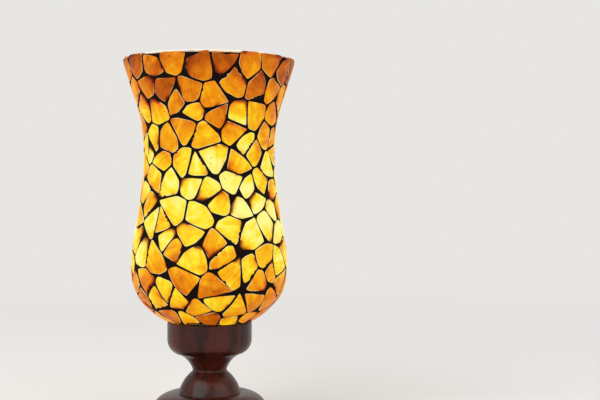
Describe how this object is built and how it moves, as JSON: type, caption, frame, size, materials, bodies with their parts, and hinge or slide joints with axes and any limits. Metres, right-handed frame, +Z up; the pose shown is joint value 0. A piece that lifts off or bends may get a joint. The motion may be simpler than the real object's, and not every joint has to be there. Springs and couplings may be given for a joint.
{
  "type": "table lamp",
  "caption": "Table lamp: a flared glass hurricane shade set with lit amber shell mosaic in dark grout, on a turned dark wooden base.",
  "frame": {"origin": "centre of the base on the surface that the rubber feet stand on", "axes": "+Z up along the lamp's axis; +Y towards the back, where the cord inlet is; +X to the right seen from the front"},
  "size_m": [0.15, 0.1502, 0.322],
  "materials": {
    "wood": "turned, dark red-brown stain under gloss lacquer",
    "zinc_steel": "zinc plated",
    "spring_steel": "blued spring steel",
    "brass": "plain brass, lightly tarnished",
    "cover_board": "hard pressed board with a felt face",
    "black_rubber": "moulded, matte",
    "block_plastic": "moulded polyamide",
    "live_insulation": "extruded PVC",
    "neutral_insulation": "extruded PVC",
    "bakelite": "moulded phenolic",
    "porcelain": "white glaze",
    "bulb_metal": "nickel-plated, satin",
    "bulb_base_glass": "black vitrite",
    "frosted_glass": "frosted inside, lit",
    "clear_glass": "clear, fire-polished",
    "filament": "tungsten and molybdenum wire",
    "cork": "pressed cork",
    "grout": "dark cement grout, matte",
    "shell_chips": "translucent polished shell, lit from behind"
  },
  "bodies": {
    "root": {"foot": "wood", "stem": "wood", "cup": "wood", "lamp_pipe": "zinc_steel", "base_washer": "zinc_steel", "base_nut": "zinc_steel", "cover_screws": "zinc_steel", "block_screw": "zinc_steel", "terminal_screws": "zinc_steel", "holder_terminal_screws": "zinc_steel", "holder_grub_screw": "zinc_steel", "base_lock_washer": "spring_steel", "contact_spring": "spring_steel", "cup_washer": "brass", "cup_nut": "brass", "riser_sleeve": "brass", "terminal_inserts": "brass", "holder_terminals": "brass", "screw_shell": "brass", "bottom_cover": "cover_board", "rubber_feet": "black_rubber", "cord_grommet": "black_rubber", "terminal_block": "block_plastic", "lead_live": "live_insulation", "lead_neutral": "neutral_insulation", "holder_cap": "bakelite", "holder_sleeve": "bakelite", "holder_core": "porcelain", "seat_ring": "cork"},
    "shade": {"glass_shade": "clear_glass", "grout": "grout", "chips_01": "shell_chips", "chips_02": "shell_chips", "chips_03": "shell_chips", "chips_04": "shell_chips", "chips_05": "shell_chips", "chips_06": "shell_chips", "chips_07": "shell_chips", "chips_08": "shell_chips", "chips_09": "shell_chips", "chips_10": "shell_chips", "chips_11": "shell_chips", "chips_12": "shell_chips"},
    "contact": {"centre_contact": "brass"},
    "bulb": {"bulb_cap": "bulb_metal", "bulb_insulator": "bulb_base_glass", "bulb_contact": "bulb_metal", "bulb_glass": "frosted_glass", "bulb_stem": "clear_glass", "bulb_supports": "filament", "bulb_filament": "filament"}
  },
  "joints": [
    {"name": "shade_lift", "type": "slide", "parent": "root", "child": "shade", "axis": [0, 0, 1], "range_m": [0, 0.17]},
    {"name": "contact_rise", "type": "slide", "parent": "root", "child": "contact", "axis": [0, 0, 1], "range_m": [0, 0.0037], "deforming": ["contact_spring"]},
    {"name": "bulb_turn", "type": "hinge", "parent": "contact", "child": "bulb", "pos_m": [0, 0, 0.128], "axis": [0, 0, 1], "range_deg": [0, 360]}
  ],
  "couplings": [
    {"joint": "contact_rise", "follows": "bulb_turn", "m_per_rad": 0.00057757}
  ]
}
